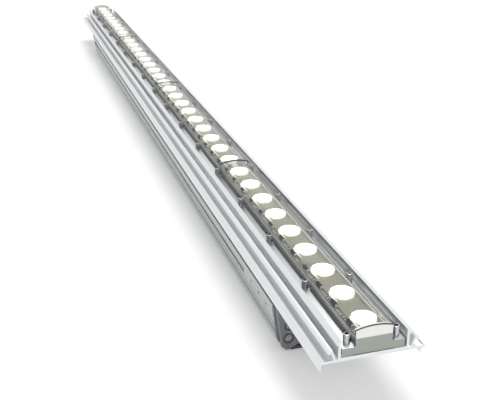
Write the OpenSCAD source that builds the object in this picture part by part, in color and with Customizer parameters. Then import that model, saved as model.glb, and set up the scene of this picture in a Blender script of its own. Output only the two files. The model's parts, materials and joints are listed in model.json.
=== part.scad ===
// Linear LED wall washer: an extruded tray of four LED modules on a lower
// housing rail, which tilts on two foot brackets.
// X runs along the lamp, Z is up out of the LEDs, Z = 0 is the mounting surface.

/* [LED modules] */
// Length of one LED module, four of which fill the tray
module_len = 300; // [260:10:340]
// LEDs along one module
leds_per_module = 9; // [6:1:9]
// Width of the aluminium carrier under each module
carrier_w = 41; // [40:0.5:46]
// Thickness of the carrier's clamped side flanges
flange_t = 5.8; // [5:0.1:7]
// Width of the carrier's raised centre
core_w = 24; // [23:0.2:25]
// Height of the raised centre above the tray
core_h = 11.1; // [10.5:0.1:11.8]
// Thickness of the circuit boards
board_t = 1.6; // [1:0.1:2]
// Diameter of one LED lens
optic_d = 16; // [12:0.5:16.4]
// Height of one LED lens
optic_h = 3.5; // [2.9:0.1:3.6]
// Gap between neighbouring modules, filled by a joint seal
joint_gap = 0.6; // [0.4:0.1:1.2]
// How far the modules stop short of the tray's ends
end_recess = 0.5; // [0.2:0.1:3]

/* [Clear cover] */
// Height of the cover's crown above the carrier flange
cover_h = 13.6; // [13:0.1:15]
// Wall thickness of the clear cover
cover_t = 1.1; // [0.8:0.1:1.3]
// Radius of the cover's shallow crown
crown_r = 42; // [40:1:50]
// Half width of the crown, where the steeper shoulder starts
crown_half = 13; // [12.5:0.1:14]
// Wall thickness of the inner diffuser strip
diffuser_t = 0.8; // [0.6:0.1:1]
// Length of the white plug at each end
plug_len = 3; // [2:0.5:6]

/* [Clamp screws] */
// Shank diameter of a clamp screw
clamp_d = 3; // [2.5:0.1:3.2]
// Diameter of the tall round screw head
clamp_head_d = 4.4; // [4:0.1:4.8]
// Height of the tall round screw head
clamp_head_h = 7.4; // [6:0.1:7.6]
// Distance of the last clamp screws from the tray's end
end_screw_inset = 5; // [4:0.5:8]

/* [Tray extrusion] */
// Thickness of the tray floor
floor_t = 2.6; // [2.2:0.1:3.4]
// Thickness of the floor under the outer grooves
groove_t = 1.8; // [1.4:0.1:2.1]
// Width of the tray across both edge beads
tray_w = 70; // [69:0.5:74]
// Thickness of the two walls beside the modules
wall_t = 1.8; // [1.4:0.1:1.9]
// Height of the two walls above the tray's underside
wall_h = 14.6; // [13:0.1:16]
// Height of the leaning fins above the tray's underside
fin_h = 8.8; // [8:0.1:9.6]
// Thickness of a leaning fin at its root
fin_t = 1.7; // [1.3:0.1:1.9]
// Drop of the drip blade below the tray's left edge
blade_drop = 5; // [4:0.1:5.4]

/* [Housing rail] */
// Overhang of the tray beyond the near end plate
near_overhang = 79; // [60:1:110]
// Overhang of the tray beyond the far end plate
far_overhang = 131; // [110:1:160]
// Height of the rail body
rail_h = 28.3; // [28:0.1:30]
// Width of the rail's flat bottom
rail_bottom_w = 61; // [60:0.2:62]
// Outward lean of the rail's sides in degrees
side_lean = 7.4; // [7:0.2:8]
// Wall thickness of the rail
rail_t = 2.2; // [1.8:0.1:2.4]
// Height of the two ribs that carry the tray
rib_h = 9.4; // [9:0.1:12]
// Width of each of the two ribs
rib_w = 6; // [5.6:0.1:7]
// Height of the T-slot's mouth
slot_mouth = 5.7; // [5.2:0.1:6.2]
// Depth of the T-slot's mouth
slot_lip = 1.8; // [1.4:0.1:2]
// Depth of the T-slot's wider chamber
slot_depth = 3.6; // [3.2:0.1:4]
// Length of the clamping strip in the T-slot
strip_len = 73; // [60:1:90]

/* [End plates] */
// Thickness of the rail's end caps
cap_t = 3; // [2.4:0.1:4]
// Thickness of the cast end plates
plate_t = 4.4; // [4:0.1:6]
// Height of the pivot above the mounting surface
pivot_z = 9.3; // [9:0.1:10]
// Distance of the pivot in from the rail's lower left corner
pivot_in = 5.3; // [5:0.1:6]
// Diameter of the pivot screw's shoulder
pivot_d = 4; // [3.4:0.1:4.4]
// Distance of the lock screw from the pivot
lock_r = 9.6; // [9.4:0.1:10]
// Shank diameter of the lock screw
lock_d = 3; // [2.6:0.1:3.2]
// Largest tilt in degrees
tilt_max = 60; // [45:5:60]

/* [Foot brackets] */
// Thickness of the foot plate on the mounting surface
foot_t = 2; // [1.6:0.1:2.4]
// Thickness of the foot's upright ear
ear_t = 3; // [2.4:0.1:4]
// Length of the foot plate under the rail
foot_len = 25; // [22:1:40]
// Width of the foot plate under the rail
foot_w = 38; // [36:1:40]
// Diameter of a mounting hole
foot_hole_d = 4.5; // [4:0.1:5]
// Distance between a foot's two mounting holes
foot_hole_pitch = 24; // [20:1:26]

/* [Cable gland] */
// Bore of the cable gland
gland_bore_d = 6.6; // [6:0.1:7]
// Width across the flats of the gland's hexagons
gland_flats = 14; // [13.5:0.1:14.5]

/* [Hidden] */
$fn = 48;

// Shared clearances
overrun = 1;            // how far a cut runs past what it cuts
rest_gap = 0.3;         // between pieces that move past each other
fit_gap = 0.15;         // between a piece and the pocket that it lies in
bearing_gap = 0.05;     // radial clearance of a shaft in its bore
thread_gap = 0.03;      // radial clearance of a screw in its thread

// Heights, from the mounting surface up
rail_z = foot_t + rest_gap;
rail_top_z = rail_z + rail_h;
tray_z = rail_top_z + rib_h;
seat_z = tray_z + floor_t;
groove_z = tray_z + groove_t;
flange_z = seat_z + flange_t;
core_z = seat_z + core_h;
board_z = core_z + board_t;
crown_z = flange_z + cover_h;

// Lengths along the lamp
module_count = 4;
tray_len = module_len * module_count;
led_pitch = module_len / leds_per_module;
end_stack = cap_t + rest_gap + ear_t + rest_gap + plate_t;
rail_len = tray_len - near_overhang - far_overhang - 2 * end_stack;
rail_mid = (far_overhang - near_overhang) / 2;
rail_half = rail_len / 2;
cap_x = rail_half + cap_t;
ear_x = cap_x + rest_gap;
plate_x = ear_x + ear_t + rest_gap;
face_x = plate_x + plate_t;

// Widths of the modules
carrier_half = carrier_w / 2;
core_half = core_w / 2;
side_gap = 1;
core_fillet = 0.8;
seal_w = 1.3;
seal_h = 2.4;
pocket_r = 3;
pocket_wall = 0.8;
pocket_gap = 0.4;
screw_y = core_half + pocket_gap + pocket_wall + pocket_r;
clamp_socket_r = 1.3;
clamp_socket_depth = 2.6;
screw_bays = 4;
screw_count = screw_bays * module_count + 1;
screw_pitch = module_len / screw_bays;
pad_t = 0.4;
pad_w = 28;
pad_inset = 12;
diffuser_gap = rest_gap;
diffuser_half = optic_d / 2 + rest_gap + diffuser_t;
board_end_gap = 1;
board_side_gap = 0.4;
board_w = core_w - 2 * board_side_gap;

// Small parts on the LED boards
chip_side = 3.5;
chip_h = 0.8;
chip_room = 0.3;
optic_rim = 2.3;
chips_per_module = 12;
chip_pitch = module_len / chips_per_module;
chip_shift = 1;
part_edge = 0.2;
part_w = board_w / 2 - part_edge - diffuser_half - rest_gap;
driver_chip = [9, part_w, 2.6];
resistor = [2.4, part_w, 0.9];
resistor_offsets = [-10.5, -7];
link_size = [9, 5, 2.2];

// Section of the tray
channel_half = carrier_half + side_gap;
wall_out = channel_half + wall_t;
hook_w = 3;
hook_drop = 2.8;
hook_t = 0.8;
fin_gap = 1.1;
fin_lean = 2.6;
fin_strut_share = 0.58;
head_w = 3.3;
head_drop = 1.7;
head_t = 1;
head_bevel = 0.6;
bead_w = 2.5;
bead_h = 2.8;
bead_edge = 0.4;
bead_foot = 0.6;
tray_half = tray_w / 2;
blade_t = 0.9;
blade_inset = 0.4;
barb_w = 3.6;
barb_drop = 3.3;
barb_inset = 2.3;
barb_tip = 0.7;
barb_tip_share = 0.48;

// Tray screws, which go down into the rail's ribs
tray_screw_d = 4;
tray_screw_head_d = 7;
tray_screw_head_h = 1.9;
tray_screw_len = 9;
tray_screw_shares = [-1.375, -0.625, 0.125, 0.875, 1.375];

// Section of the rail
rail_bottom_half = rail_bottom_w / 2;
rail_chamfer = 2.9;
rail_chamfer_share = 0.36;
slot_share = 0.595;
line_shares = [0.255, 0.335, 0.48];
line_w = 0.9;
line_depth = 0.7;
slot_undercut = 1.3;
rib_in = 9;
cavity_floor = 2.2;
port_y = 14;
port_low = 6.7;
port_high = 3.9;
port_r = 3;
port_screw_d = 3;

// Clamping strip in the T-slot
strip_sink = 0.7;
strip_screw_d = 3;
strip_screw_count = 3;
strip_screw_pitch = 17.5;
strip_screw_start = 19;

// End plates, spacers and pivot
pivot_y = rail_bottom_half - pivot_in;
plate_inset = 0.5;
plate_corner = 2.6;
plate_floor_gap = 0.6;
plate_arch_z = 4.5;
plate_toe_in = 6.3;
plate_toe_half = rail_bottom_half - plate_toe_in;
plate_arch_run = 7.2;
plate_arch_half = plate_toe_half - plate_arch_run;
plate_top_half = 27;
plate_head_gap = 0.3;
recess_depth = 2.2;
recess_r = 4.1;
pivot_head_r = 2.6;
pivot_head_t = 1.7;
bush_wall = 0.6;
lock_head_r = 2.1;
lock_play = 0.2;
lock_room = 1.2;
socket_share = 0.45;
plate_screw_head_r = 2.6;
plate_screw_len = 18;
spacer_r = 3.2;
seal_t = 0.5;

// Foot brackets
ear_out = 3.3;
ear_in = 6.6;
ear_over_pivot = 3.2;
ear_over_lock = 4.2;
ear_top_half = 3.2;
ear_low = 3.6;
countersink_r = 3.6;
countersink_h = 1;
foot_hole_x_share = 0.46;
tongue_gap = 0.8;
tongue_low_half = plate_toe_half - tongue_gap;
tongue_run = 3.6;
tongue_top_half = tongue_low_half - tongue_run;

// Driver and its parts inside the rail
driver_len = 200;
driver_w = 20;
driver_h = 11;
driver_wall = 1.2;
driver_feed_share = 0.3;
driver_post_r = 2;
driver_post_h = 2;
driver_post_inset = 6;
coil_size = [22, 14, 6.4];
capacitor_r = 3.4;
capacitor_len = 15;
terminal_size = [16, 16, 9];
terminal_wire_d = 3;
terminal_pitch = 4.6;

// Feed from the driver up to the LED boards
feed_x = -tray_len / 2 + module_len - led_pitch;
feed_bore_r = 2.4;
feed_wall = 0.9;
feed_flange_r = 4.6;
feed_flange_t = 1;
feed_pin_r = 0.6;
feed_pin_y = 1.2;

// Cable gland in the far cap
gland_z_share = 0.502;
gland_z = rail_z + gland_z_share * rail_h;
gland_thread_r = 6;
gland_collar = 4;
gland_thread_len = 12;
gland_nut_len = 13;
gland_inner = 4;
gland_hole_r = 8.6;

ALUMINIUM = "#DADDDE";
BRUSHED = "#A3A69E";
CAST_GREY = "#737378";
STEEL = "#B9BBBE";
BLACK_RUBBER = "#1E1F20";
CLEAR = [0.82, 0.86, 0.87, 0.35];

function reversed(list) = [for (i = [len(list) - 1 : -1 : 0]) list[i]];
function mirrored(list) = [for (p = list) [-p.x, p.y]];
function both_sides(right) = concat(right, reversed(mirrored(right)));

// Ends of module k, counted from the near end of the tray
function module_far(k) = tray_len / 2 - k * module_len;
function module_near(k) = module_far(k) + module_len;
function piece_far(k) = module_far(k) + (k == module_count ? end_recess : joint_gap / 2);
function piece_near(k) = module_near(k) - (k == 1 ? end_recess : joint_gap / 2);
function led_x(k, i) = module_near(k) - (i + 0.5) * led_pitch;

// Place of clamp screw i along the tray, the last ones drawn in from the ends
function screw_x(i) = let (limit = tray_len / 2 - end_screw_inset)
    min(limit, max(-limit, -tray_len / 2 + i * screw_pitch));

// A profile drawn as [y, z], run along X from one place to another
module along_x(from, to) {
    translate([from, 0, 0]) rotate([90, 0, 90]) linear_extrude(to - from) children();
}

// A block given by its two opposite corners
module block(low, high) {
    translate(low) cube(high - low);
}

// A round rod along X
module rod_x(r, from, to, y, z) {
    translate([from, y, z]) rotate([0, 90, 0]) cylinder(r = r, h = to - from);
}

// A hexagonal rod along X, measured across its flats
module hex_x(flats, from, to, y, z) {
    translate([from, y, z]) rotate([0, 90, 0]) cylinder(d = flats / cos(30), h = to - from, $fn = 6);
}

// A round rod along Z
module rod_z(r, from, to, x, y) {
    translate([x, y, from]) cylinder(r = r, h = to - from);
}

// Draws its children for one end of the rail: side 1 is near, -1 is far
module at_end(side) {
    translate([rail_mid, 0, 0]) mirror([side < 0 ? 1 : 0, 0, 0]) children();
}

// Tray

// The tray's upper outline on one side, from the edge bead in to the channel
function tray_side() = let (fin = wall_out + fin_gap, under = tray_z + fin_h - head_drop - head_t) [
    [tray_half, tray_z + bead_edge],
    [tray_half - bead_w, tray_z + bead_h],
    [tray_half - bead_w - bead_foot, groove_z],
    [fin + fin_t, groove_z],
    [fin + fin_t + fin_lean * fin_strut_share, under],
    [fin + fin_lean + head_w - head_bevel, under],
    [fin + fin_lean + head_w, under + head_t],
    [fin + fin_lean, tray_z + fin_h],
    [fin, groove_z],
    [wall_out, groove_z],
    [wall_out, tray_z + wall_h - hook_drop - hook_t],
    [channel_half + hook_w, tray_z + wall_h - hook_drop],
    [channel_half, tray_z + wall_h],
    [channel_half, seat_z]
];

// The drip blade under the left edge
function blade() = [
    [-tray_half + blade_inset, tray_z],
    [-tray_half + blade_inset, tray_z - blade_drop],
    [-tray_half + blade_inset + blade_t, tray_z - blade_drop],
    [-tray_half + blade_inset + blade_t, tray_z]
];

// The small barb under the right edge
function barb() = let (out = tray_half - barb_inset, tip = out - barb_w * barb_tip_share) [
    [out - barb_w, tray_z],
    [tip, tray_z - barb_drop],
    [tip + barb_tip, tray_z - barb_drop],
    [out, tray_z],
    [tray_half - bead_edge, tray_z]
];

function tray_outline() = concat(barb(), both_sides(tray_side()), blade());

// Between clamp screws, over the rail's ribs
module tray_screw_places() {
    for (share = tray_screw_shares, side = [-1, 1])
        translate([share * module_len, side * (rib_in + rib_w / 2), 0]) children();
}

module tray() {
    color(ALUMINIUM) difference() {
        along_x(-tray_len / 2, tray_len / 2) polygon(tray_outline());
        for (i = [0 : screw_count - 1], side = [-1, 1])
            rod_z(clamp_d / 2 + thread_gap, tray_z - overrun, seat_z + overrun, screw_x(i), side * screw_y);
        tray_screw_places() {
            rod_z(tray_screw_d / 2 + fit_gap, tray_z - overrun, seat_z, 0, 0);
            translate([0, 0, seat_z - tray_screw_head_h])
                cylinder(r1 = tray_screw_d / 2 + fit_gap, r2 = tray_screw_head_d / 2 + fit_gap,
                         h = tray_screw_head_h);
            rod_z(tray_screw_head_d / 2 + fit_gap, seat_z, seat_z + overrun, 0, 0);
        }
        rod_z(feed_bore_r + feed_wall + fit_gap, tray_z - overrun, seat_z + overrun, feed_x, 0);
    }
}

module tray_screws() {
    color(STEEL) tray_screw_places() difference() {
        union() {
            rod_z(tray_screw_d / 2, seat_z - tray_screw_len, seat_z, 0, 0);
            translate([0, 0, seat_z - tray_screw_head_h])
                cylinder(r1 = tray_screw_d / 2, r2 = tray_screw_head_d / 2, h = tray_screw_head_h);
        }
        translate([0, 0, seat_z - tray_screw_head_h])
            cylinder(r = tray_screw_d * socket_share, h = tray_screw_head_h + overrun, $fn = 6);
    }
}

// LED modules

// The carrier's section: two flanges beside a raised centre, with a recess for the pad below
function carrier_side() = concat(
    [
        [pad_w / 2, seat_z + pad_t],
        [pad_w / 2, seat_z],
        [carrier_half, seat_z],
        [carrier_half, flange_z]
    ],
    [for (a = [270 : -15 : 180]) [core_half + core_fillet * (1 + cos(a)), flange_z + core_fillet * (1 + sin(a))]],
    [[core_half, core_z]]
);

module module_carrier(k) {
    color(BRUSHED) difference() {
        along_x(piece_far(k), piece_near(k)) polygon(both_sides(carrier_side()));
        for (i = [0 : screw_count - 1], side = [-1, 1])
            if (screw_x(i) > module_far(k) - overrun && screw_x(i) < module_near(k) + overrun)
                rod_z(clamp_d / 2 + fit_gap, seat_z - overrun, flange_z + overrun, screw_x(i), side * screw_y);
        if (k == module_count)
            rod_z(feed_bore_r + feed_wall + fit_gap, seat_z - overrun, core_z + overrun, feed_x, 0);
    }
}

module thermal_pads() {
    color("#8E9496") for (k = [1 : module_count]) difference() {
        block([module_far(k) + pad_inset, -pad_w / 2 + fit_gap, seat_z],
              [module_near(k) - pad_inset, pad_w / 2 - fit_gap, seat_z + pad_t]);
        if (k == module_count)
            rod_z(feed_bore_r + feed_wall + fit_gap, seat_z - overrun, seat_z + overrun, feed_x, 0);
    }
}

// Ends of a module's board and of the diffuser on it, which leave room for the plug at a tray end
function inner_far(k) = piece_far(k) + (k == module_count ? plug_len : 0);
function inner_near(k) = piece_near(k) - (k == 1 ? plug_len : 0);

module led_board(k) {
    color("#E9E9E2")
        block([inner_far(k) + board_end_gap, -board_w / 2, core_z],
              [inner_near(k) - board_end_gap, board_w / 2, board_z]);
}

module led_chips(k) {
    color("#F5E9B8") for (i = [0 : leds_per_module - 1])
        block([led_x(k, i) - chip_side / 2, -chip_side / 2, board_z],
              [led_x(k, i) + chip_side / 2, chip_side / 2, board_z + chip_h]);
}

// One low domed lens with a pocket for its LED
module optic() {
    dome_h = optic_h - optic_rim;
    dome_r = (pow(optic_d / 2, 2) + pow(dome_h, 2)) / (2 * dome_h);
    difference() {
        intersection() {
            cylinder(d = optic_d, h = optic_h);
            translate([0, 0, optic_h - dome_r]) sphere(r = dome_r, $fn = 96);
        }
        translate([0, 0, -overrun])
            cylinder(r = chip_side * sqrt(2) / 2 + chip_room, h = overrun + chip_h + chip_room);
    }
}

module led_optics(k) {
    color("#FFFFF4") for (i = [0 : leds_per_module - 1])
        translate([led_x(k, i), 0, board_z]) optic();
}

// A small part on the board's left edge, outside the diffuser
module edge_part(size, x) {
    translate([x - size.x / 2, -board_w / 2 + part_edge, board_z]) cube(size);
}

module board_parts(k) {
    for (i = [0 : chips_per_module - 1]) {
        x = module_near(k) - (i + 0.5) * chip_pitch - chip_shift;
        color("#2B2D2A") edge_part(driver_chip, x);
        color("#5B5C55") for (offset = resistor_offsets) if (i < chips_per_module - 1)
            edge_part(resistor, x + offset);
    }
}

// Height of the crown's arc at a distance y from the middle, drawn in by depth
function crown_at(y, depth) = crown_z - crown_r + sqrt(pow(crown_r - depth, 2) - pow(y, 2));

// The cover's arch drawn in by depth: a foot, a shoulder arc and the crown arc up to its top
crown_angle = asin(crown_half / crown_r);
shoulder_r = (carrier_half - crown_half) / (1 - sin(crown_angle));
shoulder_y = crown_half - shoulder_r * sin(crown_angle);
shoulder_z = crown_z - crown_r + (crown_r - shoulder_r) * cos(crown_angle);
shoulder_steps = 8;
crown_steps = 6;
function arch_side(depth) = concat(
    [[carrier_half - depth, flange_z]],
    [for (i = [0 : shoulder_steps]) let (a = i * (90 - crown_angle) / shoulder_steps)
        [shoulder_y + (shoulder_r - depth) * cos(a), shoulder_z + (shoulder_r - depth) * sin(a)]],
    [for (i = [1 : crown_steps - 1]) let (a = 90 - crown_angle + i * crown_angle / crown_steps)
        [(crown_r - depth) * cos(a), crown_z - crown_r + (crown_r - depth) * sin(a)]]
);
function arch(depth) = concat(arch_side(depth), [[0, crown_z - depth]], reversed(mirrored(arch_side(depth))));

// The pocket around a clamp screw, open to the outside and, at a tray end, to the end
module screw_pocket(i, side, grow) {
    r = pocket_r + grow;
    top = crown_z + overrun;
    end_run = end_screw_inset + overrun;
    rod_z(r, flange_z - overrun, top, screw_x(i), side * screw_y);
    translate([screw_x(i) - r, side > 0 ? screw_y : -channel_half, flange_z - overrun])
        cube([2 * r, channel_half - screw_y, top - flange_z + overrun]);
    if (i == 0 || i == screw_count - 1)
        translate([i == 0 ? screw_x(i) - end_run : screw_x(i),
                   side > 0 ? screw_y - r : -channel_half, flange_z - overrun])
            cube([end_run, channel_half - screw_y + r, top - flange_z + overrun]);
}

// The screws whose pockets reach into the stretch between two places
function pockets_in(from, to) = [for (i = [0 : screw_count - 1])
    if (screw_x(i) > from - pocket_r && screw_x(i) < to + pocket_r) i];

module arched_shell(from, to) {
    screws = pockets_in(from, to);
    difference() {
        union() {
            along_x(from, to) polygon(concat(arch(0), reversed(arch(cover_t))));
            intersection() {
                along_x(from, to) polygon(arch(0));
                union() for (i = screws, side = [-1, 1]) screw_pocket(i, side, pocket_wall);
            }
        }
        for (i = screws, side = [-1, 1]) screw_pocket(i, side, 0);
    }
}

module clear_cover(k) {
    color(CLEAR) arched_shell(piece_far(k), piece_near(k));
}

module joint_seals() {
    color(BLACK_RUBBER) for (k = [1 : module_count - 1])
        arched_shell(module_far(k) - joint_gap / 2, module_far(k) + joint_gap / 2);
}

// The black sealing strips beside the raised centre, interrupted at each screw pocket
module side_seals() {
    strip = [
        [core_half, flange_z + core_fillet],
        [core_half + core_fillet, flange_z],
        [core_half + seal_w, flange_z],
        [core_half + seal_w, flange_z + seal_h],
        [core_half, flange_z + seal_h]
    ];
    color(BLACK_RUBBER) difference() {
        for (k = [1 : module_count], side = [-1, 1])
            along_x(piece_far(k), piece_near(k)) polygon([for (p = strip) [side * p.x, p.y]]);
        for (i = [0 : screw_count - 1], side = [-1, 1])
            screw_pocket(i, side, pocket_wall + fit_gap);
    }
}

// The outline of the diffuser on its board, under the crown, drawn in by depth
function diffuser_arc(depth) = let (half = diffuser_half - depth, inner = cover_t + diffuser_gap + depth)
    concat([[half, board_z]],
           [for (i = [0 : 2 * crown_steps]) let (y = half * (1 - i / crown_steps)) [y, crown_at(y, inner)]],
           [[-half, board_z]]);

module diffuser(k) {
    color([0.93, 0.94, 0.92, 0.5])
        along_x(inner_far(k), inner_near(k))
            polygon(concat(diffuser_arc(0), reversed(diffuser_arc(diffuser_t))));
}

module end_plug(side) {
    end = tray_len / 2 - end_recess;
    color("#F4F4F2") mirror([side < 0 ? 1 : 0, 0, 0])
        along_x(end - plug_len, end)
            polygon(concat([[core_half, core_z]],
                           [for (i = [0 : 2 * crown_steps]) let (y = core_half * (1 - i / crown_steps))
                               [y, crown_at(y, cover_t)]],
                           [[-core_half, core_z]]));
}

module clamp_screws() {
    color(STEEL) for (i = [0 : screw_count - 1], side = [-1, 1])
        translate([screw_x(i), side * screw_y, 0]) difference() {
            union() {
                rod_z(clamp_d / 2, tray_z + rest_gap, flange_z, 0, 0);
                rod_z(clamp_head_d / 2, flange_z, flange_z + clamp_head_h, 0, 0);
            }
            translate([0, 0, flange_z + clamp_head_h - clamp_socket_depth])
                cylinder(r = clamp_socket_r, h = clamp_socket_depth + overrun, $fn = 6);
        }
}

module board_links() {
    color("#F0F0EA") for (k = [1 : module_count - 1])
        translate([module_far(k) - link_size.x / 2, -link_size.y / 2, board_z]) cube(link_size);
}

module feed_sleeve() {
    color("#3A3C3D") difference() {
        union() {
            rod_z(feed_bore_r + feed_wall, rail_top_z - rail_t, core_z, feed_x, 0);
            rod_z(feed_flange_r, rail_top_z - rail_t - feed_flange_t, rail_top_z - rail_t, feed_x, 0);
        }
        rod_z(feed_bore_r, rail_z, core_z + overrun, feed_x, 0);
    }
}

module feed_pins() {
    color("#C9A24A") for (side = [-1, 1])
        rod_z(feed_pin_r, driver_board_z + board_t, core_z, feed_x, side * feed_pin_y);
}

// Housing rail

// A point on the rail's right side: deep goes in from the face, up along it
function on_side(deep, up) = [
    rail_bottom_half + up * sin(side_lean) - deep * cos(side_lean),
    rail_z + up * cos(side_lean) + deep * sin(side_lean)
];
side_len = rail_h / cos(side_lean);
slot_low = slot_share * side_len;
slot_high = slot_low + slot_mouth;

function rail_side(with_slot) = concat(
    [
        [rail_bottom_half - rail_chamfer * rail_chamfer_share, rail_z],
        on_side(0, rail_chamfer)
    ],
    [for (share = line_shares, corner = [-1, 0, 1])
        on_side(corner == 0 ? line_depth : 0, share * side_len + corner * line_w / 2)],
    with_slot ? [
        on_side(0, slot_low),
        on_side(slot_lip, slot_low),
        on_side(slot_lip, slot_low - slot_undercut),
        on_side(slot_lip + slot_depth, slot_low - slot_undercut),
        on_side(slot_lip + slot_depth, slot_high + slot_undercut),
        on_side(slot_lip, slot_high + slot_undercut),
        on_side(slot_lip, slot_high),
        on_side(0, slot_high)
    ] : [],
    [on_side(0, side_len - line_w), [on_side(line_w, side_len).x, rail_top_z]]
);

rib_side = [
    [rib_in + rib_w, rail_top_z],
    [rib_in + rib_w, tray_z],
    [rib_in, tray_z],
    [rib_in, rail_top_z]
];

// The cavity follows the wall up to the slot and steps in behind it
slot_back = slot_lip + slot_depth + rail_t;
below_slot = slot_low - slot_undercut - rail_t;
cavity = both_sides([
    [on_side(rail_t, rail_chamfer).x - cavity_floor, rail_z + cavity_floor],
    on_side(rail_t, rail_chamfer + cavity_floor),
    on_side(rail_t, below_slot),
    on_side(slot_back, below_slot),
    [on_side(slot_back, below_slot).x, rail_top_z - rail_t]
]);

port_low_z = rail_z + port_low;
port_high_z = rail_top_z - rail_t - port_high;

// The four screw ports of the rail's section
module ports() {
    for (side = [-1, 1], z = [port_low_z, port_high_z]) translate([side * port_y, z]) children();
}

module housing_rail() {
    from = rail_mid - rail_half;
    to = rail_mid + rail_half;
    color(ALUMINIUM) difference() {
        union() {
            difference() {
                along_x(from, to) polygon(both_sides(concat(rail_side(true), rib_side)));
                along_x(from - overrun, to + overrun) polygon(cavity);
            }
            for (side = [-1, 1]) {
                rod_x(port_r, from, to, side * port_y, port_low_z);
                rod_x(port_r, from, to, side * port_y, port_high_z);
                block([from, side * port_y - port_r, rail_z + cavity_floor / 2],
                      [to, side * port_y + port_r, port_low_z]);
                block([from, side * port_y - port_r, port_high_z],
                      [to, side * port_y + port_r, rail_top_z - rail_t / 2]);
            }
        }
        for (side = [-1, 1], z = [port_low_z, port_high_z])
            rod_x(port_screw_d / 2 + thread_gap, from - overrun, to + overrun, side * port_y, z);
        tray_screw_places()
            rod_z(tray_screw_d / 2 + thread_gap, seat_z - tray_screw_len - overrun, tray_z + overrun, 0, 0);
        rod_z(feed_bore_r + feed_wall + fit_gap, rail_top_z - rail_t - overrun, rail_top_z + overrun, feed_x, 0);
    }
}

// The rail's outline without its slots, for the end caps
function cap_outline() = both_sides(rail_side(false));

module rail_cap(side) {
    color("#8B8D8F") at_end(side) difference() {
        along_x(rail_half + seal_t, cap_x) polygon(cap_outline());
        for (y = [-port_y, port_y], z = [port_low_z, port_high_z])
            rod_x(port_screw_d / 2 + fit_gap, rail_half, cap_x + overrun, y, z);
        if (side < 0)
            rod_x(gland_thread_r + fit_gap, rail_half, cap_x + overrun, 0, gland_z);
    }
}

module cap_seals() {
    color(BLACK_RUBBER) for (side = [-1, 1]) at_end(side) difference() {
        along_x(rail_half, rail_half + seal_t) polygon(cap_outline());
        along_x(rail_half - overrun, rail_half + overrun) polygon(cavity);
    }
}

// Clamping strip in the left T-slot, beside the near end
function on_left(deep, up) = [-on_side(deep, up).x, on_side(deep, up).y];

module clamp_strip_screw_places() {
    for (i = [0 : strip_screw_count - 1]) {
        spot = on_left(0, (slot_low + slot_high) / 2);
        translate([rail_mid + rail_half - strip_screw_start - i * strip_screw_pitch, spot.x, spot.y])
            rotate([-90 + side_lean, 0, 0]) children();
    }
}

module clamp_strip() {
    back = slot_lip + slot_depth - fit_gap;
    front = slot_lip + fit_gap;
    color("#E4E6E7") difference() {
        along_x(rail_mid + rail_half - strip_len, rail_mid + rail_half)
            polygon([
                on_left(strip_sink, slot_low + fit_gap),
                on_left(front, slot_low + fit_gap),
                on_left(front, slot_low - slot_undercut + fit_gap),
                on_left(back, slot_low - slot_undercut + fit_gap),
                on_left(back, slot_high + slot_undercut - fit_gap),
                on_left(front, slot_high + slot_undercut - fit_gap),
                on_left(front, slot_high - fit_gap),
                on_left(strip_sink, slot_high - fit_gap)
            ]);
        clamp_strip_screw_places()
            rod_z(strip_screw_d / 2 + thread_gap, -overrun, slot_lip + slot_depth + overrun, 0, 0);
    }
}

module strip_screws() {
    color("#55585A") clamp_strip_screw_places() difference() {
        rod_z(strip_screw_d / 2, strip_sink + fit_gap, slot_lip + slot_depth, 0, 0);
        cylinder(r = strip_screw_d / 2 * socket_share, h = slot_lip, $fn = 6);
    }
}

// End plates

// The plate's outline on one side: it follows the rail's lean, with an arch cut in the bottom edge
function plate_edge(z) = rail_bottom_half + (z - rail_z) * tan(side_lean) - plate_inset;
function plate_side() = let (shoulder = tray_z - blade_drop - rest_gap, bottom = plate_floor_gap) [
    [plate_arch_half, plate_arch_z],
    [plate_toe_half, bottom],
    [plate_edge(bottom) - plate_corner, bottom],
    [plate_edge(bottom), bottom + plate_corner],
    [plate_edge(shoulder), shoulder],
    [plate_top_half, shoulder],
    [plate_top_half, tray_z - plate_head_gap]
];

lock_z = pivot_z + lock_r;

// A round-ended arc about the pivot, from straight up towards the right
module lock_arc(half_w, from, to) {
    steps = 6;
    reach = 2 * lock_r;
    intersection() {
        difference() {
            rod_x(lock_r + half_w, from, to, -pivot_y, pivot_z);
            rod_x(lock_r - half_w, from - overrun, to + overrun, -pivot_y, pivot_z);
        }
        along_x(from, to) translate([-pivot_y, pivot_z])
            polygon(concat([[0, 0]], [for (i = [0 : steps]) let (a = 90 - i * tilt_max / steps)
                [reach * cos(a), reach * sin(a)]]));
    }
    for (a = [90, 90 - tilt_max])
        rod_x(half_w, from, to, -pivot_y + lock_r * cos(a), pivot_z + lock_r * sin(a));
}

// The three places where a plate is screwed to the rail
plate_screw_places = [[-port_y, port_high_z], [port_y, port_high_z], [port_y, port_low_z]];

module end_plate(side) {
    color(CAST_GREY) at_end(side) difference() {
        along_x(plate_x, face_x) polygon(both_sides(plate_side()));
        rod_x(pivot_d / 2 + bearing_gap + bush_wall, plate_x - overrun, face_x, -pivot_y, pivot_z);
        rod_x(recess_r, face_x - recess_depth, face_x + overrun, -pivot_y, pivot_z);
        lock_arc(lock_d / 2 + lock_play, plate_x - overrun, face_x);
        lock_arc(lock_head_r + lock_room, face_x - recess_depth, face_x + overrun);
        for (place = plate_screw_places) {
            rod_x(port_screw_d / 2 + fit_gap, plate_x - overrun, face_x, place.x, place.y);
            rod_x(plate_screw_head_r + fit_gap, face_x - recess_depth, face_x + overrun, place.x, place.y);
        }
        if (side < 0)
            rod_x(gland_hole_r, plate_x - overrun, face_x + overrun, 0, gland_z);
    }
}

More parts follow.
